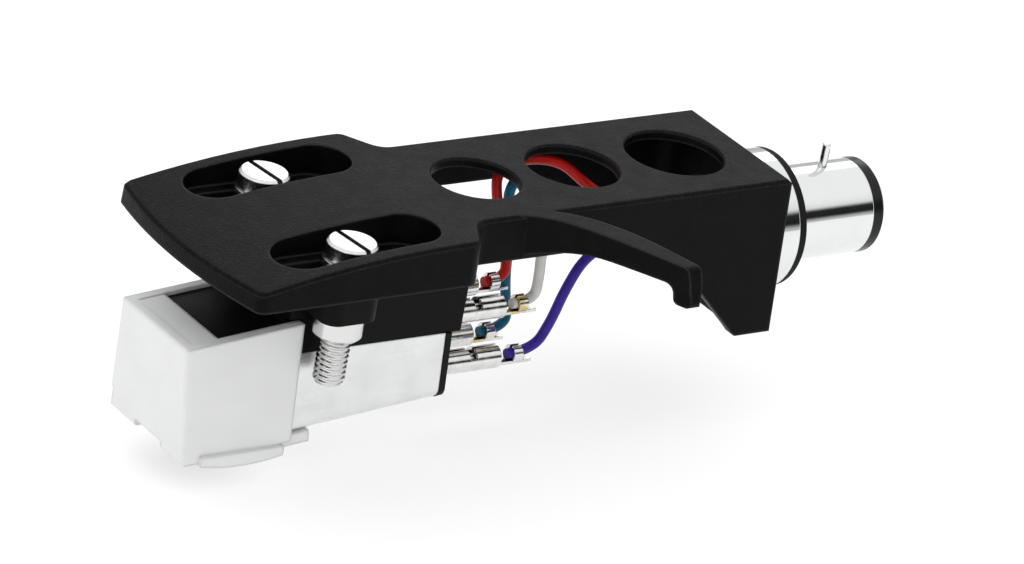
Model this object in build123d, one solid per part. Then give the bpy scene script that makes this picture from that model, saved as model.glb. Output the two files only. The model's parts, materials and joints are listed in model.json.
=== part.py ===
from build123d import *
import os
from math import cos, radians, sin, sqrt, tan

# A plug-in turntable headshell with a moving-magnet stylus cartridge screwed under it.
# Millimetres. +X points to the tonearm along the connector axis, +Z up, +Y to the side
# away from the finger lift. The origin is on the connector axis, at the rear face of the
# rubber washer, where the headshell seats against the tonearm.

# Connector
tube_radius = 4.0
tube_wall = 0.5
tube_length = 8.45
washer_radius = 5.75
washer_thickness = 0.75
collar_front_radius = 5.9
collar_rear_radius = 5.85
collar_seat_depth = 0.3
insulator_cap_length = 1.3
insulator_edge = 0.3
contact_radius = 0.5
contact_spacing = 3.2
contact_proud = 0.75
contact_edge = 0.2
solder_end_length = 3.0
locking_pin_radius = 0.38
locking_pin_x = 5.2
locking_pin_proud = 2.1
locking_pin_depth = 1.0
locking_pin_edge = 0.12

# Headshell moulding
shell_top_z = 7.0
mounting_face_z = 3.3
neck_width = 13.9
neck_wall = 0.85
neck_roof = 0.8
neck_wall_foot_z = 3.2
shell_rear_x = -3.85
rear_wall = 2.7
foot_z = -6.5
foot_front_x = -7.05
foot_angle = 46.0
wall_arc_radius = 15.0
moulding_draft = 1.9
plate_rear_x = -36.9
plate_front_x = -56.9
front_bow = 1.2
shoulder_length = 1.9
plate_corner_radius = 1.1
front_corner_radius = 0.7
shoulder_radius = 1.6
top_bend_radius = 100.0
top_edge_chamfer = 0.28
hole_rim_chamfer = 0.15
foot_corner_radius = 0.45
channel_front_x = -34.4
channel_corner_radius = 1.2
neck_holes = ((-30.5, 3.62), (-21.0, 3.85), (-10.8, 4.12))

# Mounting slots and screws; the spacing also sets the widths of the lugs, the plate and the cartridge
screw_spacing = 12.7
lug_margin = 2.1
plate_margin = 1.75
screw_x = -46.4
screw_radius = 1.3
screw_core_radius = 1.12
screw_end_z = -5.8
slot_length = 14.8
slot_width = 5.1
slot_centre_x = -46.1
slot_ledge = 1.0
head_radius = 2.05
head_height = 1.45
head_chamfer = 0.2
driver_slot_width = 0.5
driver_slot_depth = 0.65
driver_slot_turn = 6.0
screw_washer_radius = 2.2
screw_washer_thickness = 0.7
nut_radius = 2.0
nut_height = 1.9
nut_chamfer = 0.3

# Finger lift: a blade that leaves the neck, thins along its waist and ends in a deeper, leaning tip
lift_reach = 12.5
lift_root_front_x = -32.8
lift_root_rear_x = -28.2
lift_waist_reach = 3.3
lift_waist_x = -25.6
lift_waist_thickness = 2.5
lift_end_x = -22.1
lift_end_thickness = 1.2
lift_root_height = 3.65
lift_waist_height = 2.1
lift_blade_height = 1.8
lift_under_radius = 12.0
lift_tip_height = 3.3
lift_tip_width = 1.6
lift_tip_lean = 0.9
lift_tip_fillet_radius = 0.8
lift_tip_edge_radius = 0.5
lift_corner_radius = 0.6

# Cartridge moulding
block_front_x = -49.5
block_rear_x = -32.65
block_foot_z = -4.15
lug_length = 5.0
lug_height = 3.1
lug_corner_radius = 1.3
nose_tilt = 5.1
side_draft = 4.7
shield_front_x = -48.0
shield_bottom = -6.8
shield_step = 0.29
shield_sheet = 0.35
shield_fold_radius = 0.5
nose_link_top_z = 0.0
nose_link_bottom_z = -3.0
terminal_plate_x = -34.05
terminal_plate_thickness = 0.55
terminal_tab_z = -2.4
output_pin_radius = 0.55
output_pin_y = 2.0
output_pin_upper_z = -3.75
output_pin_lower_z = -8.3
output_pin_length = 5.2
output_pin_edge = 0.2
output_pin_inner_length = 0.8
socket_depth = 5.6

# Coils and the yokes that they sit on, inside the cartridge
chamber_front_x = -47.0
chamber_top_z = -0.7
yoke_front_x = -50.4
yoke_upper_front_x = -46.4
yoke_rear_x = -36.6
yoke_bottom_z = -5.2
yoke_top_z = -1.2
yoke_bar = 1.1
yoke_thickness = 0.6
yoke_sleeve_gap = 0.25
bobbin_wall = 0.25
bobbin_flange = 0.6
bobbin_flange_thickness = 0.4
bobbin_end_gap = 1.2
winding_fill = 0.85
winding_corner_radius = 0.5

# Stylus carrier, in the frame that is tilted nose down by nose_tilt
carrier_front = -59.1
carrier_top = 3.0
carrier_overhang = 0.47
carrier_wall = 0.8
carrier_edge_radius = 0.3
carrier_front_wall = 1.0
carrier_strip_length = 3.4
carrier_cheek_x = -48.35
carrier_cheek_z = -1.15
carrier_floor_rear = -46.8
carrier_bottom = -6.85
carrier_floor_top = -6.25
carrier_tongue_top = -6.88
carrier_tongue_thickness = 0.95
carrier_lip_front_x = -56.8
carrier_lip_rear_x = -49.1
carrier_lip_bottom_z = -12.52
carrier_lip_height = 1.2
carrier_lip_depth = 1.0
carrier_lip_reach = 5.9
carrier_notch_half_width = 1.9
carrier_notch_y = -0.35
carrier_notch_height = 0.65
carrier_window_half_width = 2.6
carrier_step_z = -5.05
carrier_step_rear_x = -57.3
carrier_step_depth = 0.45
bulkhead_thickness = 1.5
pivot_x = -51.7
pivot_z = -4.8
sleeve_radius = 1.3
sleeve_wall = 0.2
sleeve_axis_z = -4.6
sleeve_length = 5.1
cantilever_radius = 0.3
cantilever_length = 6.3
cantilever_angle = 27.0
damper_radius = 0.75
damper_length = 1.0
magnet_radius = 0.35
magnet_length = 1.1
tip_radius = 0.14
tip_length = 0.75

# Leads and clips
lead_diameter = 0.86
clip_radius = 1.0
clip_sheet = 0.3
clip_barrel_length = 5.3
clip_tail_length = 3.4
clip_crimp_length = 0.85
clip_trough_length = 1.05
clip_slit = 0.3
clip_throat_back = 2.3
clip_throat_length = 0.7
clip_neck_width = 0.9
lead_in = 2.3
clip_upper_stand_off = 0.9
clip_lower_stand_off = 1.35

# Fits
seat_gap = 0.02
running_gap = 0.05
sliding_gap = 0.1

# A cut runs this far past the face that it opens, and past a whole part
over = 1.0
beyond = 90.0


# Sizes that follow from the ones above

lug_reach = screw_spacing / 2 + lug_margin
plate_width = 2 * (lug_reach + plate_margin)
block_half_width = screw_spacing / 2 - nut_radius - running_gap
shield_half_width = block_half_width - shield_step
carrier_half_width = block_half_width + carrier_overhang
screw_sides = {"near": -screw_spacing / 2, "far": screw_spacing / 2}
washer_seat_z = mounting_face_z + slot_ledge
head_seat_z = washer_seat_z + screw_washer_thickness
nut_top_z = mounting_face_z - lug_height

collar_front_x = shell_rear_x - collar_seat_depth
socket_front_x = shell_rear_x - rear_wall
solder_end_x = socket_front_x - solder_end_length
cap_rear_x = tube_length + insulator_cap_length
neck_side_y = -neck_width / 2
roof_z = shell_top_z - neck_roof

core_half_width = shield_half_width - shield_sheet - running_gap
nose_half_width = carrier_half_width - carrier_wall - sliding_gap
nose_front = carrier_front + carrier_front_wall + 3 * sliding_gap
bulkhead_front = pivot_x - bulkhead_thickness / 2
bulkhead_rear = pivot_x + bulkhead_thickness / 2
nose_shelf = sleeve_axis_z + sleeve_radius + 2 * sliding_gap
socket_rear = bulkhead_rear + sliding_gap + socket_depth
terminal_rear_x = terminal_plate_x + terminal_plate_thickness
yoke_y = sleeve_radius + yoke_sleeve_gap + yoke_thickness / 2
bobbin_reach = yoke_thickness / 2 + running_gap + bobbin_wall + bobbin_flange
chamber_half_width = yoke_y + bobbin_reach + yoke_sleeve_gap


def box(x0, x1, y0, y1, z0, z1):
    return Pos((x0 + x1) / 2, (y0 + y1) / 2, (z0 + z1) / 2) * Box(x1 - x0, y1 - y0, z1 - z0)


def rod_x(radius, x0, x1, y=0.0, z=0.0):
    return Pos((x0 + x1) / 2, y, z) * Rot(0, 90, 0) * Cylinder(radius, x1 - x0)


def rod_z(radius, z0, z1, x=0.0, y=0.0):
    return Pos(x, y, (z0 + z1) / 2) * Cylinder(radius, z1 - z0)


def ring_x(outer, inner, x0, x1, y=0.0, z=0.0):
    return rod_x(outer, x0, x1, y, z) - rod_x(inner, x0 - over, x1 + over, y, z)


def pointed_rod_x(radius, x0, x1, y, z, edge):
    rod = rod_x(radius, x0, x1, y, z)
    return chamfer(rod.edges().group_by(Axis.X)[-1], edge)


def nose_frame(shape):
    return Rot(0, -nose_tilt, 0) * shape


def plan(face, z, depth, draft):
    return extrude(Pos(0, 0, z) * face, amount=depth, dir=(0, 0, -1), taper=-draft)


# Connector

def connector_tube():
    tube = ring_x(tube_radius, tube_radius - tube_wall, socket_front_x, tube_length)
    return tube - rod_z(locking_pin_radius + seat_gap, 0, 2 * tube_radius, locking_pin_x)


def connector_collar():
    length = -washer_thickness - collar_front_x
    cone = Cone(collar_front_radius, collar_rear_radius, length)
    middle_x = (collar_front_x - washer_thickness) / 2
    bore = rod_x(tube_radius + seat_gap, collar_front_x - over, over)
    return Pos(middle_x, 0, 0) * Rot(0, 90, 0) * cone - bore


def rubber_washer():
    return ring_x(washer_radius, tube_radius + seat_gap, -washer_thickness, 0)


def contact_places():
    half = contact_spacing / 2
    return {"contact_pin_1": (-half, half), "contact_pin_2": (half, half),
            "contact_pin_3": (-half, -half), "contact_pin_4": (half, -half)}


def connector_insulator():
    core = rod_x(tube_radius - tube_wall - seat_gap, socket_front_x, tube_length)
    body = core + pointed_rod_x(tube_radius, tube_length, cap_rear_x, 0, 0, insulator_edge)
    for y, z in contact_places().values():
        body -= rod_x(contact_radius + seat_gap, socket_front_x - over, cap_rear_x + over, y, z)
    hole_z = tube_radius - tube_wall - locking_pin_depth
    return body - rod_z(locking_pin_radius + seat_gap, hole_z, 2 * tube_radius, locking_pin_x)


def contact_pin(y, z):
    return pointed_rod_x(contact_radius, solder_end_x, cap_rear_x + contact_proud, y, z, contact_edge)


def locking_pin():
    foot_z = tube_radius - tube_wall - locking_pin_depth + seat_gap
    pin = rod_z(locking_pin_radius, foot_z, tube_radius + locking_pin_proud, locking_pin_x)
    return chamfer(pin.edges().group_by(Axis.Z)[-1], locking_pin_edge)


# Headshell moulding

def corners_at(face, x, y):
    return [v for v in face.vertices() if abs(v.X - x) < sliding_gap and abs(abs(v.Y) - y) < sliding_gap]


def shell_outline():
    half = plate_width / 2
    neck = neck_width / 2
    neck_start_x = plate_rear_x + shoulder_length
    bow = ThreePointArc((plate_front_x, -half), (plate_front_x - front_bow, 0), (plate_front_x, half))
    sides = Polyline((plate_front_x, half), (plate_rear_x, half), (neck_start_x, neck),
                     (shell_rear_x, neck), (shell_rear_x, -neck), (neck_start_x, -neck),
                     (plate_rear_x, -half), (plate_front_x, -half))
    face = make_face(Curve() + [bow, sides])
    face = fillet(corners_at(face, plate_front_x, half), front_corner_radius)
    face = fillet(corners_at(face, plate_rear_x, half), plate_corner_radius)
    return fillet(corners_at(face, neck_start_x, neck), shoulder_radius)


def top_height(x):
    reach = max(0.0, plate_rear_x - x)
    return shell_top_z - top_bend_radius + sqrt(top_bend_radius ** 2 - reach ** 2)


def shell_side():
    front_x = plate_front_x - front_bow - over
    middle_x = (front_x + plate_rear_x) / 2
    rear_x = shell_rear_x + over
    angle = radians(foot_angle)
    corner_x = foot_front_x - (neck_wall_foot_z - foot_z) / tan(angle)
    arc_start_x = corner_x - wall_arc_radius * tan(angle / 2)

    def on_arc(turn):
        drop = wall_arc_radius * (1 - cos(turn))
        return (arc_start_x + wall_arc_radius * sin(turn), neck_wall_foot_z - drop)

    bend = ThreePointArc((plate_rear_x, shell_top_z), (middle_x, top_height(middle_x)),
                         (front_x, top_height(front_x)))
    under = Polyline((front_x, top_height(front_x)), (front_x, mounting_face_z),
                     (channel_front_x, mounting_face_z), (channel_front_x, neck_wall_foot_z), on_arc(0))
    sweep_down = ThreePointArc(on_arc(0), on_arc(angle / 2), on_arc(angle))
    foot = Polyline(on_arc(angle), (foot_front_x, foot_z), (rear_x, foot_z), (rear_x, shell_top_z),
                    (plate_rear_x, shell_top_z))
    face = make_face(Curve() + [bend, under, sweep_down, foot])
    toe = [v for v in face.vertices() if abs(v.X - foot_front_x) < sliding_gap]
    return extrude(Plane.XZ * fillet(toe, foot_corner_radius), amount=beyond, both=True)


def finger_lift():
    """The plan of the blade, cut to its side view."""
    root_y = neck_side_y + neck_wall / 2
    end_y = neck_side_y - lift_reach
    waist_y = neck_side_y - lift_waist_reach
    tip_round = lift_end_thickness / 2
    front_x = lift_end_x - tip_round
    rear_x = lift_end_x + tip_round
    front = Spline((lift_root_front_x, root_y), (lift_waist_x - lift_waist_thickness / 2, waist_y),
                   (front_x, end_y + tip_round),
                   tangents=((1, 0), (lift_end_thickness, -lift_waist_thickness)))
    rear = Spline((rear_x, end_y + tip_round), (lift_waist_x + lift_waist_thickness / 2, waist_y),
                  (lift_root_rear_x, root_y),
                  tangents=((-lift_end_thickness, 2 * lift_waist_thickness), (-2, 1)))
    tip = ThreePointArc((front_x, end_y + tip_round), (lift_end_x, end_y),
                        (rear_x, end_y + tip_round))
    back = Line((lift_root_rear_x, root_y), (lift_root_front_x, root_y))
    blade = plan(make_face(Curve() + [front, tip, rear, back]), shell_top_z + over, shell_top_z - foot_z, 0)

    tip_z = shell_top_z - lift_tip_height
    blade_z = shell_top_z - lift_blade_height
    inner_y = root_y + over
    corners = {
        (end_y + lift_tip_lean, shell_top_z): lift_corner_radius,
        (end_y, tip_z): lift_tip_edge_radius,
        (end_y + lift_tip_width, tip_z): lift_tip_edge_radius,
        (end_y + lift_tip_width + lift_tip_lean / 3, blade_z): lift_tip_fillet_radius,
        (waist_y, shell_top_z - lift_waist_height): lift_under_radius,
    }
    root = [(root_y, shell_top_z - lift_root_height), (inner_y, shell_top_z - lift_root_height)]
    face = make_face(Polyline((inner_y, shell_top_z), *corners, *root, close=True))
    for (y, z), radius in corners.items():
        face = fillet(face.vertices().sort_by_distance((y, z, 0))[0], radius)
    side_view = extrude(Plane.YZ * face, amount=beyond, both=True)
    return blade & side_view


def mounting_slots():
    cuts = []
    narrow = 2 * (screw_radius + sliding_gap) + sliding_gap
    for y in screw_sides.values():
        recess = Pos(slot_centre_x, y, washer_seat_z) * SlotOverall(slot_length, slot_width)
        cuts.append(extrude(recess, amount=shell_top_z))
        through = SlotOverall(slot_length - slot_width + narrow, narrow)
        through = Pos(slot_centre_x, y, mounting_face_z - over) * through
        cuts.append(extrude(through, amount=slot_ledge + 2 * over))
    return cuts


def eased_top(body):
    """Eases the outline of the top, which is a flat neck and a plate with a slight bend."""
    tops = [face for face in body.faces() if face.normal_at().Z > cos(radians(foot_angle))]
    edges = [edge for face in tops for edge in face.edges()]
    outline = []
    for edge in edges:
        others = [other for other in edges if other is not edge]
        if not any((edge.center() - other.center()).length < seat_gap for other in others):
            outline.append(edge)
    return chamfer(outline, top_edge_chamfer)


def headshell_body():
    depth = shell_top_z - foot_z + over
    body = eased_top(plan(shell_outline(), shell_top_z, depth, moulding_draft) & shell_side())
    channel = Pos((channel_front_x + socket_front_x) / 2, 0, 0) * RectangleRounded(
        socket_front_x - channel_front_x, neck_width - 2 * neck_wall, channel_corner_radius)
    body += finger_lift()
    body -= plan(channel, roof_z, depth, moulding_draft)
    for x, radius in neck_holes:
        body -= rod_z(radius, roof_z - over, shell_top_z + over, x)
        rim = Cone(radius, radius + 2 * hole_rim_chamfer, 2 * hole_rim_chamfer)
        body -= Pos(x, 0, shell_top_z) * rim
    for cut in mounting_slots():
        body -= cut
    body -= rod_x(tube_radius + seat_gap, socket_front_x - over, over)
    return body - rod_x(collar_front_radius + seat_gap, collar_front_x, over)


# Screws, washers and nuts

def mounting_screw(y):
    """A cheese head with a driver slot, a plain shank, and the thread's core below the nut."""
    head = rod_z(head_radius, head_seat_z, head_seat_z + head_height, screw_x, y)
    head = chamfer(head.edges().group_by(Axis.Z)[-1], head_chamfer)
    slot = Pos(screw_x, y, head_seat_z + head_height) * Rot(0, 0, driver_slot_turn) * Box(
        driver_slot_width, 3 * head_radius, 2 * driver_slot_depth)
    nut_foot_z = nut_top_z - nut_height
    shank = rod_z(screw_radius, nut_foot_z, head_seat_z, screw_x, y)
    core = rod_z(screw_core_radius, screw_end_z, nut_foot_z, screw_x, y)
    core = chamfer(core.edges().group_by(Axis.Z)[0], head_chamfer)
    return head - slot + shank + core


def screw_washer(y):
    ring = rod_z(screw_washer_radius, washer_seat_z, head_seat_z, screw_x, y)
    return ring - rod_z(screw_radius + running_gap, washer_seat_z - over, head_seat_z + over, screw_x, y)


def round_nut(y):
    foot_z = nut_top_z - nut_height
    nut = rod_z(nut_radius, foot_z, nut_top_z, screw_x, y)
    nut = chamfer(nut.edges().group_by(Axis.Z)[0], nut_chamfer)
    return nut - rod_z(screw_radius + seat_gap, foot_z - over, nut_top_z + over, screw_x, y)


# Cartridge moulding

def drafted_prism(half_width, top, bottom, front, rear):
    """A prism along the tilted nose axis, whose sides lean outwards towards the bottom."""
    lean = tan(radians(side_draft))
    upper = half_width + lean * (carrier_top - top)
    lower = half_width + lean * (carrier_top - bottom)
    face = make_face(Polyline((-upper, top), (upper, top), (lower, bottom), (-lower, bottom), close=True))
    return extrude(Plane(origin=(front, 0, 0), x_dir=(0, 1, 0), z_dir=(1, 0, 0)) * face, amount=rear - front)


def folded_prism(inset):
    """The shield's folded section, or one lying inside it by the given inset."""
    front = shield_front_x - 3 * over
    rear = terminal_rear_x + beyond / 6
    prism = drafted_prism(shield_half_width - inset, carrier_top, shield_bottom + inset, front, rear)
    folds = prism.edges().filter_by(Axis.X).group_by(Axis.Z)[0]
    return nose_frame(fillet(folds, shield_fold_radius + shield_sheet - inset))


def mounting_lugs():
    lugs = RectangleRounded(lug_length, 2 * lug_reach, lug_corner_radius)
    return extrude(Pos(screw_x, 0, nut_top_z) * lugs, amount=lug_height)


def output_pin_places():
    return {"output_pin_upper_near": (-output_pin_y, output_pin_upper_z),
            "output_pin_upper_far": (output_pin_y, output_pin_upper_z),
            "output_pin_lower_near": (-output_pin_y, output_pin_lower_z),
            "output_pin_lower_far": (output_pin_y, output_pin_lower_z)}


def pole_yoke(side):
    """A C-shaped plate: its lower leg runs forward through the coil to the stylus magnet."""
    inner_rear_x = yoke_rear_x - yoke_bar
    inner_top_z = yoke_top_z - yoke_bar
    inner_bottom_z = yoke_bottom_z + yoke_bar
    outline = Polyline((yoke_front_x, yoke_bottom_z), (yoke_rear_x, yoke_bottom_z), (yoke_rear_x, yoke_top_z),
                       (yoke_upper_front_x, yoke_top_z), (yoke_upper_front_x, inner_top_z),
                       (inner_rear_x, inner_top_z), (inner_rear_x, inner_bottom_z),
                       (yoke_front_x, inner_bottom_z), close=True)
    plate = extrude(Plane.XZ * make_face(outline), amount=yoke_thickness / 2, both=True)
    return nose_frame(Pos(0, side * yoke_y, 0) * plate)


def nose():
    """What the stylus carrier slides over: a solid nose with a step and a shelf cut for the carrier."""
    top = carrier_top - 2 * sliding_gap - running_gap
    upper = drafted_prism(nose_half_width, top, nose_shelf, nose_front, shield_front_x)
    step_rear = carrier_front + carrier_strip_length + sliding_gap
    step_z = carrier_top - carrier_wall - sliding_gap
    step = box(nose_front - over, step_rear, -beyond, beyond, step_z, carrier_top + over)
    lower = drafted_prism(nose_half_width, nose_shelf, carrier_floor_top + sliding_gap,
                          bulkhead_rear + sliding_gap, shield_front_x)
    room = box(-beyond, shield_front_x, -beyond, beyond, -beyond, mounting_face_z)
    return nose_frame(upper - step + lower) & room


def cartridge_body():
    block = box(block_front_x, block_rear_x, -block_half_width, block_half_width, block_foot_z,
                mounting_face_z)
    block -= box(-beyond, carrier_cheek_x + sliding_gap, -beyond, beyond, -beyond,
                 carrier_cheek_z + sliding_gap)
    core = folded_prism(shield_sheet + running_gap)
    core &= box(shield_front_x, terminal_plate_x - running_gap, -beyond, beyond, -beyond, block_foot_z + over)
    link = box(block_front_x, shield_front_x, -core_half_width, core_half_width, nose_link_bottom_z,
               nose_link_top_z)
    body = block + mounting_lugs() + core + nose() + link
    chamber = box(chamber_front_x, 0, -chamber_half_width, chamber_half_width, -beyond, chamber_top_z)
    body -= nose_frame(chamber) & box(-beyond, terminal_plate_x, -beyond, beyond, -beyond, beyond)
    socket = rod_x(sleeve_radius + running_gap, bulkhead_rear - over, socket_rear, 0, sleeve_axis_z)
    body -= nose_frame(socket)
    slot_half = yoke_thickness / 2 + running_gap
    for side in (-1, 1):
        y = side * yoke_y
        slot = box(yoke_front_x - sliding_gap, chamber_front_x + over, y - slot_half, y + slot_half,
                   yoke_bottom_z - sliding_gap, yoke_bottom_z + yoke_bar + sliding_gap)
        body -= nose_frame(slot)
    for y in screw_sides.values():
        body -= rod_z(screw_radius + sliding_gap, nut_top_z - over, mounting_face_z + over, screw_x, y)
    plate_front_gap = terminal_plate_x - running_gap
    plate_rear_gap = terminal_rear_x + running_gap
    tab_half = core_half_width + running_gap
    body -= box(plate_front_gap, plate_rear_gap, -tab_half, tab_half, -beyond, terminal_tab_z + running_gap)
    pin_gap = output_pin_radius + running_gap
    for y, z in output_pin_places().values():
        body -= rod_x(pin_gap, plate_front_gap - over, 0, y, z)
        body -= box(plate_front_gap, 0, y - pin_gap, y + pin_gap, z - 3 * over, z)
    return body


def shield_case():
    room = box(shield_front_x, terminal_plate_x - seat_gap, -beyond, beyond, -beyond, block_foot_z - seat_gap)
    return (folded_prism(0) - folded_prism(shield_sheet)) & room


def terminal_plate():
    """A board that closes the shield's rear, proud of it all round, with a tab into the moulding."""
    bottom = shield_bottom - running_gap
    prism = drafted_prism(shield_half_width + running_gap, carrier_top, bottom,
                          terminal_plate_x - 3 * over, terminal_rear_x + 3 * over)
    corners = prism.edges().filter_by(Axis.X).group_by(Axis.Z)[0]
    plate = nose_frame(fillet(corners, shield_fold_radius + shield_sheet))
    plate &= box(terminal_plate_x, terminal_rear_x, -beyond, beyond, -beyond, block_foot_z - seat_gap)
    plate += box(terminal_plate_x, terminal_rear_x, -core_half_width, core_half_width,
                 block_foot_z - over, terminal_tab_z)
    for y, z in output_pin_places().values():
        plate -= rod_x(output_pin_radius + seat_gap, terminal_plate_x - over, terminal_rear_x + over, y, z)
    return plate


def output_pin(y, z):
    front_x = terminal_plate_x - output_pin_inner_length
    rear_x = terminal_rear_x + output_pin_length
    return pointed_rod_x(output_pin_radius, front_x, rear_x, y, z, output_pin_edge)


def coil_parts(side):
    """A bobbin around the yoke's lower leg and the winding between its flanges."""
    y = side * yoke_y
    x0 = chamber_front_x + bobbin_end_gap
    x1 = yoke_rear_x - yoke_bar - bobbin_end_gap / 2

    def sleeve(front, rear, grow):
        reach = yoke_thickness / 2 + running_gap + grow
        return box(front, rear, y - reach, y + reach, yoke_bottom_z - running_gap - grow,
                   yoke_bottom_z + yoke_bar + running_gap + grow)

    flange_0 = sleeve(x0, x0 + bobbin_flange_thickness, bobbin_wall + bobbin_flange)
    flange_1 = sleeve(x1 - bobbin_flange_thickness, x1, bobbin_wall + bobbin_flange)
    bobbin = sleeve(x0, x1, bobbin_wall) + flange_0 + flange_1 - sleeve(x0 - over, x1 + over, 0)
    wound_x0 = x0 + bobbin_flange_thickness + running_gap
    wound_x1 = x1 - bobbin_flange_thickness - running_gap
    winding = sleeve(wound_x0, wound_x1, bobbin_wall + bobbin_flange * winding_fill)
    winding = fillet(winding.edges().filter_by(Axis.X), winding_corner_radius)
    winding -= sleeve(x0, x1, bobbin_wall + seat_gap)
    return nose_frame(bobbin), nose_frame(winding)


# Stylus

def carrier_lip(side):
    """The low guard rib along the bottom of one cheek."""
    top_z = carrier_lip_bottom_z + carrier_lip_height
    end_z = carrier_lip_bottom_z + carrier_lip_height / 3
    middle_x = (carrier_lip_front_x + carrier_lip_rear_x) / 2
    under = ThreePointArc((carrier_lip_front_x, end_z), (middle_x, carrier_lip_bottom_z),
                          (carrier_lip_rear_x, end_z))
    top = Polyline((carrier_lip_rear_x, end_z), (carrier_lip_rear_x, top_z), (carrier_lip_front_x, top_z),
                   (carrier_lip_front_x, end_z))
    rib = extrude(Plane.XZ * make_face(Curve() + [under, top]), amount=carrier_lip_depth)
    outer_y = carrier_lip_reach if side > 0 else carrier_lip_depth - carrier_lip_reach
    return Pos(0, outer_y, 0) * rib


def stylus_carrier():
    """A guard open at the top and bottom, with a bulkhead that holds the cantilever's mount."""
    rear = carrier_cheek_x + over
    inner_half = carrier_half_width - carrier_wall
    outer = drafted_prism(carrier_half_width, carrier_top, carrier_bottom, carrier_front, rear)
    front_edges = outer.edges().filter_by(lambda e: abs(e.center().X - carrier_front) < seat_gap)
    outer = fillet(front_edges, carrier_edge_radius)
    inside = drafted_prism(inner_half, carrier_top + over, carrier_floor_top,
                           carrier_front + carrier_front_wall, rear + over)
    strip = drafted_prism(carrier_half_width - sliding_gap, carrier_top - running_gap,
                          carrier_top - carrier_wall, carrier_front + carrier_front_wall / 2,
                          carrier_front + carrier_strip_length)
    window_front = carrier_front + carrier_front_wall + 2 * sliding_gap
    window = box(window_front, bulkhead_front - 2 * sliding_gap, -carrier_window_half_width,
                 carrier_window_half_width, carrier_bottom - over, carrier_floor_top + over)
    notch = box(carrier_front - over, carrier_front + 2 * carrier_front_wall,
                carrier_notch_y - carrier_notch_half_width, carrier_notch_y + carrier_notch_half_width,
                carrier_bottom - over, carrier_bottom + carrier_notch_height)
    bulkhead = drafted_prism(inner_half + 2 * sliding_gap, nose_shelf - sliding_gap,
                             carrier_floor_top - 2 * sliding_gap, bulkhead_front, bulkhead_rear)
    seat = Pos(pivot_x, 0, pivot_z) * Rot(0, 90 - cantilever_angle, 0) * Cylinder(
        damper_radius + running_gap, 4 * damper_length)
    bore = rod_x(sleeve_radius + seat_gap, sleeve_front_x - running_gap, bulkhead_rear + over, 0,
                 sleeve_axis_z)
    step = box(-beyond, carrier_step_rear_x, 0, beyond, -beyond, carrier_step_z)
    step -= drafted_prism(carrier_half_width - carrier_step_depth, carrier_top, carrier_bottom - over,
                          carrier_front - over, carrier_step_rear_x + over)
    guard = outer - inside + strip - window - notch - step + bulkhead - seat - bore
    tongue = drafted_prism(inner_half - 2 * sliding_gap, carrier_tongue_top,
                           carrier_tongue_top - carrier_tongue_thickness, bulkhead_rear, carrier_floor_rear)
    tongue += drafted_prism(inner_half, carrier_floor_top - sliding_gap, carrier_tongue_top - sliding_gap,
                            bulkhead_rear, shield_front_x - over)
    cheeks = box(-beyond, carrier_cheek_x, -beyond, beyond, -beyond, beyond)
    carrier = (nose_frame(guard) & cheeks) + nose_frame(tongue)
    for side in (-1, 1):
        carrier += carrier_lip(side)
    return carrier


sleeve_front_x = pivot_x + damper_length / 2 - sliding_gap


def stylus_sleeve():
    rear = sleeve_front_x + sleeve_length
    inner = sleeve_radius - sleeve_wall
    return nose_frame(ring_x(sleeve_radius, inner, sleeve_front_x, rear, 0, sleeve_axis_z))


def along_cantilever(shape):
    """Places a shape that is drawn along +Z onto the cantilever's axis, +Z towards the stylus."""
    return nose_frame(Pos(pivot_x, 0, pivot_z) * Rot(0, -90 - cantilever_angle, 0) * shape)


def suspension_damper():
    ring = rod_z(damper_radius, -damper_length / 2, damper_length / 2)
    return along_cantilever(ring - rod_z(cantilever_radius + running_gap, -damper_length, damper_length))


def stylus_magnet():
    near = damper_length / 2 + sliding_gap
    return along_cantilever(rod_z(magnet_radius, -near - magnet_length, -near))


def cantilever():
    near = damper_length / 2 + sliding_gap
    return along_cantilever(rod_z(cantilever_radius, -near, cantilever_length))


def stylus_tip():
    place = cantilever_length - tip_length / 2
    shank = rod_x(tip_radius, -tip_length, -cantilever_radius)
    point = Cone(tip_radius, tip_radius / 5, 1.5 * tip_radius, align=(Align.CENTER, Align.CENTER, Align.MIN))
    tip = Pos(-tip_length, 0, 0) * Rot(0, -90, 0) * point
    return along_cantilever(Pos(0, 0, place) * (shank + tip))


# Leads and clips

def clip_start_x(z):
    stand_off = clip_upper_stand_off if z > output_pin_lower_z else clip_lower_stand_off
    return terminal_rear_x + stand_off


def clip_end_x(z):
    return clip_start_x(z) + clip_barrel_length + clip_tail_length


def lead_clip(y, z):
    """One folded strip: a slit barrel on the output pin, a flat neck and a crimp around the lead."""
    x0 = clip_start_x(z)
    x1 = x0 + clip_barrel_length
    slit = clip_slit / 2
    barrel = ring_x(clip_radius, clip_radius - clip_sheet, x0, x1, y, z)
    barrel -= box(x0 - over, x1 + over, y - slit, y + slit, z, z + 2 * clip_radius)
    throat_x1 = x1 - clip_throat_back
    barrel -= box(throat_x1 - clip_throat_length, throat_x1, y - 2 * clip_radius, y + 2 * clip_radius,
                  z + clip_radius / 3, z + 2 * clip_radius)
    crimp_x1 = clip_end_x(z) - clip_trough_length
    crimp_x0 = crimp_x1 - clip_crimp_length
    crimp_radius = lead_diameter / 2 + clip_sheet
    crimp = ring_x(crimp_radius, lead_diameter / 2 + seat_gap, crimp_x0, crimp_x1, y, z)
    crimp -= box(crimp_x0 - over, crimp_x1 + over, y - slit, y + slit, z, z + 2 * clip_radius)
    strip_z = z - crimp_radius
    strip = box(x1 - clip_sheet, clip_end_x(z), y - clip_neck_width / 2, y + clip_neck_width / 2,
                strip_z, strip_z + clip_sheet - running_gap)
    return barrel + strip + crimp


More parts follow.
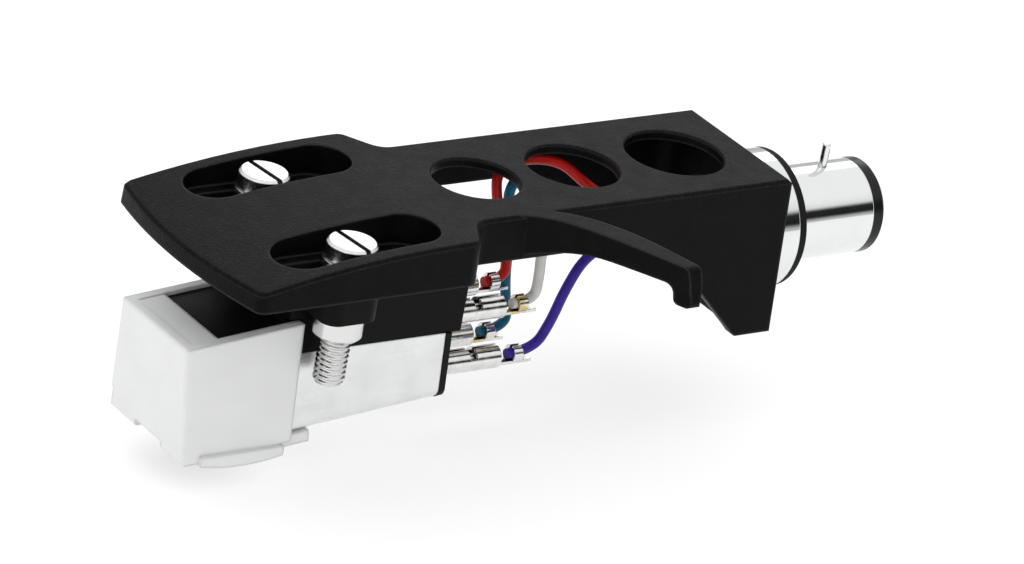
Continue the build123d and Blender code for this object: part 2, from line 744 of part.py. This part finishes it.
pin_half = contact_spacing / 2
lead_end_x = solder_end_x - seat_gap


def lead_routes():
    y = output_pin_y
    upper = output_pin_upper_z
    lower = output_pin_lower_z
    upper_x = clip_end_x(upper) - lead_in
    lower_x = clip_end_x(lower) - lead_in
    return {
        "lead_white": [(upper_x, -y, upper), (-23.95, -y, upper), (-23.95, -2.1, -1.6), (-24.6, -2.5, 1.4),
                       (-22.8, -3.3, 4.4), (-19.4, -3.5, 4.6), (-15.4, -2.6, 3.2),
                       (-12.4, -pin_half, pin_half), (lead_end_x, -pin_half, pin_half)],
        "lead_violet": [(lower_x, -y, lower), (-23.1, -y, lower), (-21.8, -y, -5.9), (-21.0, -y, -3.2),
                        (-19.6, -y, -0.4), (-17.0, -1.9, 0.6), (-14.6, -1.8, -0.2),
                        (-12.4, -pin_half, -pin_half), (lead_end_x, -pin_half, -pin_half)],
        "lead_red": [(upper_x, y, upper), (-24.1, y, upper), (-24.2, 2.1, -1.7), (-25.4, 3.3, 2.9),
                     (-25.5, 3.8, 5.4), (-22.3, 4.6, 5.65), (-18.6, 4.4, 5.05), (-16.9, 3.0, 3.5),
                     (-14.4, 1.8, 2.0), (-12.2, pin_half, pin_half), (lead_end_x, pin_half, pin_half)],
        "lead_blue": [(lower_x, y, lower), (-22.85, 2.05, lower), (-22.8, 3.0, -6.1), (-23.3, 3.1, -3.3),
                      (-23.5, 3.0, 0.3), (-25.2, 2.2, 3.4), (-24.9, 2.2, 5.1), (-23.4, 2.3, 5.25),
                      (-21.6, 2.4, 3.8), (-18.2, 2.2, 1.4), (-15.0, 1.7, -0.9),
                      (-12.4, pin_half, -pin_half), (lead_end_x, pin_half, -pin_half)],
    }


def lead(name, points):
    """A round lead on straight runs joined by tangent arcs as wide as the runs allow."""
    path_points = [Vector(*p) for p in points]
    radii = []
    for before, here, after in zip(path_points, path_points[1:], path_points[2:]):
        turn = (here - before).get_angle(after - here)
        shorter = min((here - before).length, (after - here).length)
        radii.append(0.45 * shorter / tan(radians(turn / 2)))
    print(name, "arc radii", [round(r, 2) for r in radii])
    path = FilletPolyline(*path_points, radius=radii)
    start = Plane(origin=path_points[0], z_dir=path_points[1] - path_points[0])
    tube = sweep(start * Circle(lead_diameter / 2), path=path)
    section = Circle(lead_diameter / 2).area
    print(name, "length", round(path.length, 2), "volume / (section x length)",
          round(tube.volume / (section * path.length), 4))
    return tube


def build():
    parts = {
        "headshell_body": headshell_body(),
        "connector_tube": connector_tube(),
        "connector_collar": connector_collar(),
        "rubber_washer": rubber_washer(),
        "connector_insulator": connector_insulator(),
        "locking_pin": locking_pin(),
        "cartridge_body": cartridge_body(),
        "shield_case": shield_case(),
        "terminal_plate": terminal_plate(),
        "stylus_carrier": stylus_carrier(),
        "stylus_sleeve": stylus_sleeve(),
        "suspension_damper": suspension_damper(),
        "stylus_magnet": stylus_magnet(),
        "cantilever": cantilever(),
        "stylus_tip": stylus_tip(),
    }
    for name, (y, z) in contact_places().items():
        parts[name] = contact_pin(y, z)
    for name, (y, z) in output_pin_places().items():
        parts[name] = output_pin(y, z)
    for name, y in screw_sides.items():
        side = 1 if y > 0 else -1
        parts["mounting_screw_" + name] = mounting_screw(y)
        parts["screw_washer_" + name] = screw_washer(y)
        parts["round_nut_" + name] = round_nut(y)
        parts["pole_yoke_" + name] = pole_yoke(side)
        parts["coil_bobbin_" + name], parts["coil_winding_" + name] = coil_parts(side)
    clip_of = {"white": "output_pin_upper_near", "violet": "output_pin_lower_near",
               "red": "output_pin_upper_far", "blue": "output_pin_lower_far"}
    for colour, pin in clip_of.items():
        parts["lead_clip_" + colour] = lead_clip(*output_pin_places()[pin])
    for name, points in lead_routes().items():
        parts[name] = lead(name, points)
    return parts


os.makedirs("parts", exist_ok=True)
for node, shape in build().items():
    export_step(shape, "parts/" + node + ".step")
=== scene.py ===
import json
import math

import bmesh
import bpy
from mathutils import Matrix, Vector


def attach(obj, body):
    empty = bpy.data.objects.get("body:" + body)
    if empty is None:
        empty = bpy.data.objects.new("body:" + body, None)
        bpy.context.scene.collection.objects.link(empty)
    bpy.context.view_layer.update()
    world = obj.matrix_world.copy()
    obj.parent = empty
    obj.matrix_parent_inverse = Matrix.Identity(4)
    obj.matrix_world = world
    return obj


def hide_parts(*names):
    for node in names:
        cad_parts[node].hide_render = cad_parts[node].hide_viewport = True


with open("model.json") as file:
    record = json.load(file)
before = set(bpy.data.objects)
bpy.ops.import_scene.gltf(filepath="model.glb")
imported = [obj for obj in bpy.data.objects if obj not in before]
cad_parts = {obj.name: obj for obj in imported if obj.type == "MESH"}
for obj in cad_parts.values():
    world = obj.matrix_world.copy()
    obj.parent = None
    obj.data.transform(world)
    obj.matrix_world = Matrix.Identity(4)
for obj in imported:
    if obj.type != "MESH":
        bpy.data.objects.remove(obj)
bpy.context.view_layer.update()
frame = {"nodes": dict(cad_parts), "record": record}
MM = 0.001


# Node materials

class Nodes:
    """Adds nodes to a tree. Each input is given as a value or as another node's output."""

    def __init__(self, tree):
        self.tree = tree

    def feed(self, socket, value):
        if isinstance(value, bpy.types.NodeSocket):
            self.tree.links.new(value, socket)
        else:
            socket.default_value = value

    def node(self, kind, **inputs):
        made = self.tree.nodes.new("ShaderNode" + kind)
        for name, value in inputs.items():
            self.feed(made.inputs[name.replace("_", " ")], value)
        return made

    def operate(self, kind, operation, *values):
        """The result of a Math or VectorMath node."""
        made = self.node(kind)
        made.operation = operation
        for socket, value in zip(made.inputs, values):
            self.feed(socket, value)
        is_number = kind == "Math" or operation in ("LENGTH", "DOT_PRODUCT")
        return made.outputs["Value" if is_number else "Vector"]

    def multiply(self, a, b):
        return self.operate("Math", "MULTIPLY", a, b)


class Shader(Nodes):
    """A material on one Principled shader, with short ways to add what varies over the surface."""

    MIX_BELOW, MIX_ABOVE = 6, 7     # the colour inputs of a Mix node, which share their names

    def __init__(self, name, colour, roughness, metallic=0.0, **sockets):
        self.mat = bpy.data.materials.new(name)
        self.mat.use_nodes = True
        super().__init__(self.mat.node_tree)
        self.bsdf = self.tree.nodes["Principled BSDF"]
        self.set("Base Color", (*colour, 1))
        self.set("Roughness", roughness)
        self.set("Metallic", metallic)
        for socket, value in sockets.items():
            self.set(socket.replace("_", " "), value)
        self.coords = self.node("TexCoord").outputs["Object"]
        self.normal = None

    def set(self, socket, value):
        self.feed(self.bsdf.inputs[socket], value)
        return self

    def set_normal(self, value):
        self.normal = value
        return self.set("Normal", value)

    def noise(self, size_mm, detail=2.0, stretch=None):
        """Noise in grains of about size_mm, longer along an axis with a stretch below 1."""
        coords = self.coords
        if stretch:
            coords = self.node("Mapping", Vector=coords, Scale=stretch).outputs[0]
        scale = 1.0 / (size_mm * MM)
        return self.node("TexNoise", Vector=coords, Scale=scale, Detail=detail).outputs["Fac"]

    def ramp(self, fac, stops):
        """A colour ramp. A stop's colour is three numbers, or one for a grey."""
        made = self.node("ValToRGB", Fac=fac)
        elements = made.color_ramp.elements
        while len(elements) < len(stops):
            elements.new(0.5)
        for element, (place, colour) in zip(elements, stops):
            grey = isinstance(colour, float)
            element.position = place
            element.color = (colour, colour, colour, 1) if grey else (*colour, 1)
        return made.outputs["Color"]

    def colour_from(self, fac, stops):
        return self.set("Base Color", self.ramp(fac, stops))

    def colour_between(self, fac, low, high):
        """Between two colours, over the middle of a noise's range."""
        return self.colour_from(fac, [(0.3, low), (0.7, high)])

    def roughness_from(self, fac, low, high):
        """Between two roughnesses, over the middle of a noise's range."""
        scaled = self.node("MapRange", Value=fac, From_Min=0.3, From_Max=0.7,
                           To_Min=low, To_Max=high)
        return self.set("Roughness", scaled.outputs[0])

    def bump(self, fac, depth_mm, strength):
        below = {} if self.normal is None else {"Normal": self.normal}
        made = self.node("Bump", Height=fac, Distance=depth_mm * MM, Strength=strength, **below)
        return self.set_normal(made.outputs[0])

    def rounded_normal(self, radius_mm, samples):
        made = self.node("Bevel", Radius=radius_mm * MM)
        made.samples = samples
        return made.outputs[0]

    def true_normal(self):
        return self.node("NewGeometry").outputs["Normal"]

    def soft_edges(self, radius_mm):
        """Rounds the light on sharp edges, as a moulded or tumbled edge does."""
        return self.set_normal(self.rounded_normal(radius_mm, samples=4))

    def mix_over(self, factor, above, blend="MIX"):
        """Lays a colour over the base colour."""
        made = self.node("Mix", Factor=factor)
        made.data_type = "RGBA"
        made.blend_type = blend
        below = self.bsdf.inputs["Base Color"].links[0].from_socket
        self.feed(made.inputs[self.MIX_BELOW], below)
        self.feed(made.inputs[self.MIX_ABOVE], above)
        return self.set("Base Color", made.outputs[2])

    def painted_edge_highlight(self, radius_mm, colour):
        """Paints a highlight along sharp edges: lightens the colour there, broken up by noise."""
        rounded = self.rounded_normal(radius_mm, samples=6)
        alike = self.operate("VectorMath", "DOT_PRODUCT", rounded, self.true_normal())
        turn = self.operate("Math", "SUBTRACT", 1.0, alike)
        broken = self.multiply(turn, self.multiply(self.noise(0.35, 3.0), 5.0))
        return self.mix_over(self.ramp(broken, [(0.04, 0.0), (0.35, 1.0)]), (*colour, 1))

    def facing_up(self):
        """1 on level upper faces, 0 on sides and undersides."""
        parts = self.node("SeparateXYZ", Vector=self.true_normal())
        return self.ramp(parts.outputs["Z"], [(0.2, 0.0), (0.8, 1.0)])

    def crevice_shade(self, reach_mm, low):
        """Paints shade into slots, gaps and valleys: darkens the colour where metal reflects only
        itself.
        """
        near = self.node("AmbientOcclusion", Distance=reach_mm * MM)
        near.samples = 8
        shade = self.ramp(near.outputs["AO"], [(0.3, low), (0.8, 1.0)])
        return self.mix_over(1.0, shade, "MULTIPLY")

    def along(self, axis, low_mm, high_mm):
        """0 to 1 between two places along one axis of the part's frame."""
        split = self.node("SeparateXYZ", Vector=self.coords)
        scaled = self.node("MapRange", Value=split.outputs[axis],
                           From_Min=low_mm * MM, From_Max=high_mm * MM)
        return scaled.outputs[0]

    def one_sided(self):
        """Clear from behind, so that a view from below shows the underside."""
        made = self.node("MixShader", Fac=self.node("NewGeometry").outputs["Backfacing"])
        self.feed(made.inputs[1], self.bsdf.outputs[0])
        self.feed(made.inputs[2], self.node("BsdfTransparent").outputs[0])
        self.feed(self.tree.nodes["Material Output"].inputs["Surface"], made.outputs[0])
        return self


def grey(level):
    return (level, level, level)


def shell_paint():
    """Satin black on a fine grain; painted sparkle on upper faces, painted highlights on edges."""
    m = Shader("shell_satin_black", (0.003, 0.003, 0.0031), 0.4, Specular_IOR_Level=0.055)
    m.soft_edges(0.34)
    cloud = m.noise(1.6, 4.0)
    m.colour_between(cloud, (0.0022, 0.0022, 0.0023), (0.0042, 0.0042, 0.0043))
    # Painted sparkle: light specks of the grain on upward faces only, where light falls from
    # above.
    sparkle_specks = m.ramp(m.noise(0.3, 2.0), [(0.56, 0.0), (0.7, 1.0)])
    m.mix_over(m.multiply(sparkle_specks, m.facing_up()), (0.0105, 0.011, 0.011, 1))
    # Painted highlight: a lighter line along the shell's sharp edges.
    m.painted_edge_highlight(0.34, (0.034, 0.0345, 0.0345))
    m.roughness_from(cloud, 0.36, 0.46)
    m.bump(m.noise(0.16, 3.0), 0.05, 0.85)
    return m.bump(m.noise(0.4, 2.0), 0.02, 0.4).mat


def plated(name, tint=(0.77, 0.78, 0.78), roughness=0.07):
    """Smooth bright metal, faintly smeared."""
    m = Shader(name, tint, roughness, 1.0)
    m.soft_edges(0.12)
    smear = m.noise(1.6, 3.0)
    m.colour_between(smear, tuple(c * 0.97 for c in tint), tint)
    m.roughness_from(smear, roughness * 0.8, roughness * 1.5)
    return m.bump(m.noise(0.35, 2.0), 0.0015, 0.3).mat


def turned_steel(name, tint=(0.76, 0.76, 0.755)):
    """Bright steel with fine marks from turning, and painted shade in slots and thread valleys."""
    m = Shader(name, tint, 0.16, 1.0)
    m.soft_edges(0.1)
    marks = m.noise(0.25, 3.0, stretch=(1.0, 1.0, 7.0))
    m.colour_from(marks, [(0.25, tuple(c * 0.86 for c in tint)), (0.75, tint)])
    # Painted shade: darkens the colour in the slot and between the thread's ridges.
    m.crevice_shade(0.6, 0.06)
    m.roughness_from(marks, 0.12, 0.26)
    return m.bump(marks, 0.004, 0.35).mat


def moulded(name, low, high, roughness, edge_mm=0.15, **sockets):
    """Moulded plastic: a faint flow variation in colour and a fine spark-eroded grain."""
    m = Shader(name, high, roughness, **sockets)
    m.soft_edges(edge_mm)
    flow = m.noise(4.0, 2.0, stretch=(0.5, 1.0, 1.0))
    m.colour_between(flow, low, high)
    m.roughness_from(flow, roughness * 0.9, roughness * 1.12)
    return m.bump(m.noise(0.12, 2.0), 0.006, 0.5).mat


def shield_sheet():
    """Bright plated sheet, faintly streaked along its rolling direction."""
    m = Shader("shield_bright_sheet", (0.75, 0.755, 0.755), 0.3, 1.0)
    m.soft_edges(0.15)
    streak = m.noise(0.2, 3.0, stretch=(0.05, 1.0, 1.0))
    m.colour_between(m.noise(2.5, 2.0), (0.72, 0.725, 0.725), (0.78, 0.785, 0.785))
    m.roughness_from(streak, 0.26, 0.38)
    return m.bump(streak, 0.0004, 0.3).mat


def tinned(name, gold_from=None, gold_to=None):
    """Bright tin plate, faintly clouded; gold tint over one stretch along X; painted crevice
    shade.
    """
    m = Shader(name, (0.76, 0.76, 0.75), 0.15, 1.0)
    m.soft_edges(0.08)
    worn = m.noise(0.9, 2.0)
    m.colour_between(worn, (0.66, 0.66, 0.65), (0.8, 0.8, 0.79))
    if gold_from is not None:
        uneven = m.multiply(m.operate("Math", "SUBTRACT", m.noise(0.4, 2.0), 0.5), 1.2)
        spread = m.operate("Math", "ADD", m.along("X", gold_from, gold_to), uneven)
        stretch = m.ramp(spread, [(0.1, 0.0), (0.4, 1.0), (0.6, 1.0), (0.9, 0.0)])
        m.mix_over(stretch, (0.62, 0.5, 0.22, 1))
    # Painted shade: darkens the colour in gaps and crimps.
    m.crevice_shade(0.5, 0.1)
    m.roughness_from(worn, 0.1, 0.22)
    return m.bump(worn, 0.015, 0.5).mat


def insulation(name, low, high):
    m = Shader(name, high, 0.4, Specular_IOR_Level=0.2)
    mottle = m.noise(0.7, 3.0)
    m.colour_between(mottle, low, high)
    m.roughness_from(mottle, 0.34, 0.46)
    return m.bump(m.noise(0.3, 2.0), 0.012, 0.4).mat


def rubber(name):
    m = Shader(name, grey(0.006), 0.65, Specular_IOR_Level=0.15)
    dust = m.noise(0.25, 4.0)
    m.colour_from(dust, [(0.35, 0.004), (0.75, 0.01)])
    m.roughness_from(dust, 0.55, 0.75)
    return m.bump(dust, 0.01, 0.5).mat


def copper_winding():
    """Fine enamelled wire, laid side by side along the coil."""
    m = Shader("coil_copper_wire", (0.6, 0.24, 0.09), 0.32, 1.0)
    wave = m.node("TexWave", Vector=m.coords, Scale=2600.0, Distortion=0.4)
    wave.bands_direction = "X"
    wires = wave.outputs["Fac"]
    m.colour_from(wires, [(0.0, (0.28, 0.09, 0.03)), (0.7, (0.68, 0.3, 0.12))])
    m.roughness_from(m.noise(0.4), 0.26, 0.4)
    return m.bump(wires, 0.02, 0.6).mat


def diamond():
    m = Shader("tip_diamond", (0.85, 0.88, 0.9), 0.05, IOR=2.4, Transmission_Weight=0.6)
    facets = m.noise(0.1, 1.0)
    m.colour_between(facets, (0.75, 0.8, 0.84), (0.95, 0.96, 0.97))
    return m.bump(facets, 0.004, 0.3).mat


MATERIALS = {
    "shell_black": shell_paint(),
    "chrome": plated("chrome_plate"),
    "washer_rubber": rubber("washer_rubber_black"),
    "insulator_black": moulded("insulator_gloss_black", grey(0.004), grey(0.007), 0.2,
                               Specular_IOR_Level=0.22),
    "contact_gold": plated("contact_gold_plate", (0.86, 0.62, 0.26), 0.14),
    "screw_steel": turned_steel("screw_bright_steel"),
    "body_black": moulded("body_matte_black", (0.003, 0.003, 0.0035), (0.005, 0.005, 0.0055),
                          0.45, Specular_IOR_Level=0.08),
    "shield_silver": shield_sheet(),
    "terminal_black": moulded("terminal_matte_black", grey(0.004), grey(0.007), 0.45,
                              Specular_IOR_Level=0.12),
    "clip_tin": tinned("clip_tin_plate"),
    "carrier_white": moulded("carrier_satin_white", (0.75, 0.76, 0.755), (0.79, 0.8, 0.795), 0.4,
                             edge_mm=0.4, Subsurface_Weight=0.05, Subsurface_Scale=0.0004),
    "sleeve_metal": plated("sleeve_drawn_metal", (0.74, 0.74, 0.75), 0.2),
    "damper_rubber": rubber("damper_soft_rubber"),
    "cantilever_aluminium": plated("cantilever_drawn_tube", (0.8, 0.8, 0.81), 0.22),
    "magnet": turned_steel("magnet_ground", (0.42, 0.42, 0.44)),
    "tip_diamond": diamond(),
    "yoke_iron": turned_steel("yoke_annealed_iron", (0.5, 0.49, 0.48)),
    "bobbin_plastic": moulded("bobbin_natural", (0.6, 0.57, 0.47), (0.66, 0.63, 0.53), 0.5),
    "coil_copper": copper_winding(),
    "lead_white": insulation("lead_insulation_white", (0.56, 0.55, 0.53), (0.66, 0.65, 0.63)),
    "lead_violet": insulation("lead_insulation_violet", (0.032, 0.012, 0.24),
                              (0.045, 0.018, 0.31)),
    "lead_red": insulation("lead_insulation_red", (0.42, 0.008, 0.006), (0.58, 0.014, 0.01)),
    "lead_blue": insulation("lead_insulation_blue", (0.002, 0.075, 0.14), (0.006, 0.13, 0.24)),
}
GOLD_TINTED_CLIPS = {
    "lead_clip_white": tinned("clip_tin_gold_end", -27.6, -24.4),
    "lead_clip_blue": tinned("clip_tin_gold_crimp", -27.4, -25.0),
}

for entry in frame["record"]["subparts"]:
    name = entry["node"]
    materials = frame["nodes"][name].data.materials
    materials.clear()
    materials.append(GOLD_TINTED_CLIPS.get(name, MATERIALS[entry["material_slot"]]))


# Pieces made here, in millimetres

def add_object(name, data, material):
    obj = bpy.data.objects.new(name, data)
    bpy.context.scene.collection.objects.link(obj)
    data.materials.append(material)
    return obj


def add_mesh(name, mesh, material):
    data = bpy.data.meshes.new(name)
    mesh.to_mesh(data)
    mesh.free()
    return add_object(name, data, material)


# Leads: the routes of the source's round cords, as smooth curves

PIN = 1.6       # half the side of the contact pins' square
LEAD_RADIUS = 0.43
LEAD_ROUTES = {
    "lead_white": [
        (-26.2, -2.0, -3.75), (-23.95, -2.0, -3.75), (-23.95, -2.1, -1.6), (-24.6, -2.5, 1.4),
        (-22.8, -3.3, 4.4), (-19.4, -3.5, 4.6), (-15.4, -2.6, 3.2), (-12.4, -PIN, PIN),
        (-9.57, -PIN, PIN)],
    "lead_violet": [
        (-25.75, -2.0, -8.3), (-23.1, -2.0, -8.3), (-21.8, -2.0, -5.9), (-21.0, -2.0, -3.2),
        (-19.6, -2.0, -0.4), (-17.0, -1.9, 0.6), (-14.6, -1.8, -0.2), (-12.4, -PIN, -PIN),
        (-9.57, -PIN, -PIN)],
    "lead_red": [
        (-26.2, 2.0, -3.75), (-24.1, 2.0, -3.75), (-24.2, 2.1, -1.7), (-25.4, 3.3, 2.9),
        (-25.5, 3.8, 5.4), (-22.3, 4.6, 5.65), (-18.6, 4.4, 5.05), (-16.9, 3.0, 3.5),
        (-14.4, 1.8, 2.0), (-12.2, PIN, PIN), (-9.57, PIN, PIN)],
    "lead_blue": [
        (-25.75, 2.0, -8.3), (-22.85, 2.05, -8.3), (-22.8, 3.0, -6.1), (-23.3, 3.1, -3.3),
        (-23.5, 3.0, 0.3), (-25.2, 2.2, 3.4), (-24.9, 2.2, 5.1), (-23.4, 2.3, 5.25),
        (-21.6, 2.4, 3.8), (-18.2, 2.2, 1.4), (-15.0, 1.7, -0.9), (-12.4, PIN, -PIN),
        (-9.57, PIN, -PIN)],
}


def lead(name, points):
    curve = bpy.data.curves.new(name + "_insulation", "CURVE")
    curve.dimensions = "3D"
    spline = curve.splines.new("NURBS")
    spline.points.add(len(points) - 1)
    for point, place in zip(spline.points, points):
        point.co = (*(Vector(place) * MM), 1)
    spline.order_u = 3
    spline.use_endpoint_u = True
    curve.resolution_u = 12
    curve.bevel_depth = LEAD_RADIUS * MM
    curve.bevel_resolution = 5
    curve.use_fill_caps = True
    obj = add_object(name + "_insulation", curve, MATERIALS[name])
    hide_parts(name)
    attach(obj, "headshell")


for name, points in LEAD_ROUTES.items():
    lead(name, points)


# Screw threads

SCREW_X = -46.4
SCREW_Y = 6.35
THREAD_TOP = -1.75
THREAD_END = -5.75
THREAD_CORE = 1.1
THREAD_CREST = 1.3
THREAD_PITCH = 0.45
THREAD_FLANK = 0.42     # share of the pitch from crest to root
THREAD_FADE = 0.35      # length over which the ridge sinks at the screw's end
SUNK = 0.9              # share of the core's radius at both ends, inside the screw
SIDES = 40
ROWS_PER_PITCH = 10


def thread(name, y):
    """A helical ridge round a screw's core, fading at its end."""
    mesh = bmesh.new()
    length = THREAD_TOP - THREAD_END
    rows = int(length / THREAD_PITCH * ROWS_PER_PITCH)
    rings = []
    for row in range(rows + 1):
        z = THREAD_TOP - length * row / rows
        fade = min(1.0, (z - THREAD_END) / THREAD_FADE)
        ring = []
        for side in range(SIDES):
            angle = 2 * math.pi * side / SIDES
            phase = (z / THREAD_PITCH + angle / (2 * math.pi)) % 1.0
            ridge = max(0.0, 1.0 - abs(phase - 0.5) / THREAD_FLANK)
            radius = THREAD_CORE + (THREAD_CREST - THREAD_CORE) * ridge * fade
            if row in (0, rows):
                radius = THREAD_CORE * SUNK
            ring.append(mesh.verts.new(((SCREW_X + radius * math.cos(angle)) * MM,
                                        (y + radius * math.sin(angle)) * MM, z * MM)))
        rings.append(ring)
    for upper, lower in zip(rings, rings[1:]):
        for side in range(SIDES):
            after = (side + 1) % SIDES
            mesh.faces.new((upper[side], lower[side], lower[after], upper[after])).smooth = True
    obj = add_mesh(name, mesh, MATERIALS["screw_steel"])
    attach(obj, "headshell")


thread("screw_thread_near", -SCREW_Y)
thread("screw_thread_far", SCREW_Y)


# Solder where the leads meet the contact pins

SOLDER_X = -9.5
SOLDER_RADIUS = 0.62
SOLDER_STRETCH = 1.5            # along the pin
SOLDER_SWELL = 0.1              # how far the bead departs from round
SOLDER_WAVES = (3000, 4000)     # per metre, along X and Y


def solder(name, y, z):
    mesh = bmesh.new()
    bmesh.ops.create_icosphere(mesh, subdivisions=3, radius=SOLDER_RADIUS * MM)
    centre = Vector((SOLDER_X, y, z)) * MM
    for vertex in mesh.verts:
        vertex.co.x *= SOLDER_STRETCH
        wave = math.sin(vertex.co.y * SOLDER_WAVES[1]) * math.cos(vertex.co.x * SOLDER_WAVES[0])
        swell = 1 + SOLDER_SWELL * wave
        vertex.co = Vector((vertex.co.x, vertex.co.y * swell, vertex.co.z * swell)) + centre
    for face in mesh.faces:
        face.smooth = True
    obj = add_mesh(name, mesh, MATERIALS["clip_tin"])
    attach(obj, "headshell")


for index, (y, z) in enumerate([(-PIN, PIN), (PIN, PIN), (-PIN, -PIN), (PIN, -PIN)], 1):
    solder("solder_joint_%d" % index, y, z)


# Floor and light, in metres

FLOOR_SIZE = 6.0
FLOOR_Z = -0.0150


def floor():
    shader = Shader("floor_pale", grey(0.6), 0.9, Specular_IOR_Level=0.1,
                    Emission_Color=(1, 1, 1, 1), Emission_Strength=0.5)
    shader.colour_between(shader.noise(120.0, 2.0), grey(0.59), grey(0.61))
    shader.one_sided()
    mesh = bmesh.new()
    bmesh.ops.create_grid(mesh, x_segments=1, y_segments=1, size=FLOOR_SIZE / 2)
    obj = add_mesh("floor", mesh, shader.mat)
    obj.location = (0, 0, FLOOR_Z)


def softbox(name, place, size, watts):
    """A rectangular light that faces the middle of the part."""
    light = bpy.data.lights.new(name, "AREA")
    light.shape = "RECTANGLE"
    light.size, light.size_y = size
    light.energy = watts
    obj = bpy.data.objects.new(name, light)
    bpy.context.scene.collection.objects.link(obj)
    obj.location = place
    toward = Vector((-0.028, 0.0, 0.0)) - Vector(place)
    obj.rotation_euler = toward.to_track_quat("-Z", "Y").to_euler()


def surroundings(strength, horizon, card, spread, card_light):
    """Soft white light, brighter overhead. A dark card draws the dark line along bright metal."""
    world = bpy.data.worlds.new("soft_studio")
    bpy.context.scene.world = world
    world.use_nodes = True
    n = Nodes(world.node_tree)

    def smooth(value, from_min, from_max, to_min):
        made = n.node("MapRange", Value=value, From_Min=from_min, From_Max=from_max,
                      To_Min=to_min)
        made.interpolation_type = "SMOOTHSTEP"
        return made.outputs[0]

    toward = n.node("TexCoord").outputs["Generated"]
    sky = smooth(n.node("SeparateXYZ", Vector=toward).outputs["Z"], 0.1, 0.65, horizon)
    offset = n.operate("VectorMath", "SUBTRACT", toward, Vector(card).normalized())
    scaled = n.operate("VectorMath", "DIVIDE", offset, spread)
    shade = smooth(n.operate("VectorMath", "LENGTH", scaled), 0.6, 1.5, card_light)
    background = world.node_tree.nodes["Background"]
    n.feed(background.inputs["Strength"], strength)
    n.feed(background.inputs["Color"], n.multiply(sky, shade))


floor()
softbox("key", (-0.75, -0.35, 0.35), (0.5, 0.5), 0.6)
softbox("back", (0.48, 0.6, 0.42), (0.5, 0.3), 0.52)
softbox("top", (0.0, 0.05, 0.9), (0.9, 0.9), 0.3)
surroundings(strength=1.08, horizon=0.52, card=(0.576, -0.785, 0.235), spread=(0.55, 0.45, 0.14),
             card_light=0.03)


# Camera, fitted to the photograph

AZIMUTH = math.radians(-39.349)
ELEVATION = math.radians(24.645)
ROLL = math.radians(10.939)
DISTANCE = 540.836              # from the point that the camera faces, in millimetres
ASIDE, ABOVE = -20.649, -5.43   # that point from the origin, across the view
FOCAL_PX = 6582.32
IMAGE_WIDTH_PX = 1024
SENSOR_WIDTH = 36.0


def camera():
    back = Vector((math.sin(AZIMUTH) * math.cos(ELEVATION),
                   -math.cos(AZIMUTH) * math.cos(ELEVATION), math.sin(ELEVATION)))
    level = Vector((math.cos(AZIMUTH), math.sin(AZIMUTH), 0))
    upright = back.cross(level)
    right = math.cos(ROLL) * level + math.sin(ROLL) * upright
    up = math.cos(ROLL) * upright - math.sin(ROLL) * level
    data = bpy.data.cameras.new("camera")
    data.sensor_width = SENSOR_WIDTH
    data.lens = FOCAL_PX * SENSOR_WIDTH / IMAGE_WIDTH_PX
    data.clip_start = 0.05
    data.clip_end = 20
    obj = bpy.data.objects.new("camera", data)
    bpy.context.scene.collection.objects.link(obj)
    place = (ASIDE * right + ABOVE * up + DISTANCE * back) * MM
    obj.matrix_world = Matrix.Translation(place) @ Matrix((right, up, back)).transposed().to_4x4()
    return obj


bpy.context.scene.camera = camera()
bpy.context.scene.view_settings.view_transform = "Standard"
